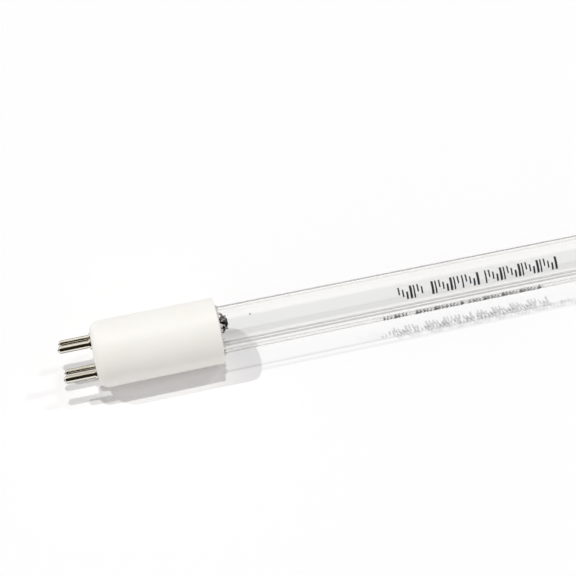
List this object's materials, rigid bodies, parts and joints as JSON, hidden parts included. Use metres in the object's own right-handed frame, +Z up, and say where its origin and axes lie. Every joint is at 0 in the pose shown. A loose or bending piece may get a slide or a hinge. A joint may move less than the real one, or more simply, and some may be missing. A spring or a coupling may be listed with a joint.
{
  "type": "ultraviolet lamp",
  "caption": "Straight clear quartz tube lamp with a round white ceramic base and contact pins at one end and a plain ceramic cap at the other.",
  "frame": {"origin": "on the surface that the lamp lies on, under the middle of its length, pins included", "axes": "+X from the contact pins to the far cap, +Z up"},
  "size_m": [0.2972, 0.021, 0.021],
  "materials": {
    "ceramic": "smooth, faintly warm white, soft gloss",
    "cement": "rough, chalky",
    "quartz": "clear, fire-polished",
    "pin_metal": "nickel-plated, bright, fine turning marks",
    "lead_wire": "drawn nickel",
    "support_wire": "drawn nickel, dulled by heat",
    "foil": "rolled molybdenum",
    "filament": "dark coated tungsten with bright glints",
    "sleeve": "thin, slightly translucent",
    "mercury": "liquid mirror",
    "print_ink": "black fired ink"
  },
  "bodies": {
    "root": {"base_cement": "cement", "ceramic_base": "ceramic", "contact_pin_1": "pin_metal", "contact_pin_2": "pin_metal", "contact_pin_3": "pin_metal", "contact_pin_4": "pin_metal", "end_cap": "ceramic", "end_cement": "cement", "far_filament": "filament", "far_foil_1": "foil", "far_foil_2": "foil", "far_lead_1": "lead_wire", "far_lead_2": "lead_wire", "far_support_1": "support_wire", "far_support_2": "support_wire", "mercury_drop": "mercury", "near_filament": "filament", "near_foil_1": "foil", "near_foil_2": "foil", "near_lead_1": "lead_wire", "near_lead_2": "lead_wire", "near_support_1": "support_wire", "near_support_2": "support_wire", "pin_jumper": "lead_wire", "quartz_tube": "quartz", "return_sleeve": "sleeve", "return_wire": "lead_wire"}
  },
  "joints": []
}
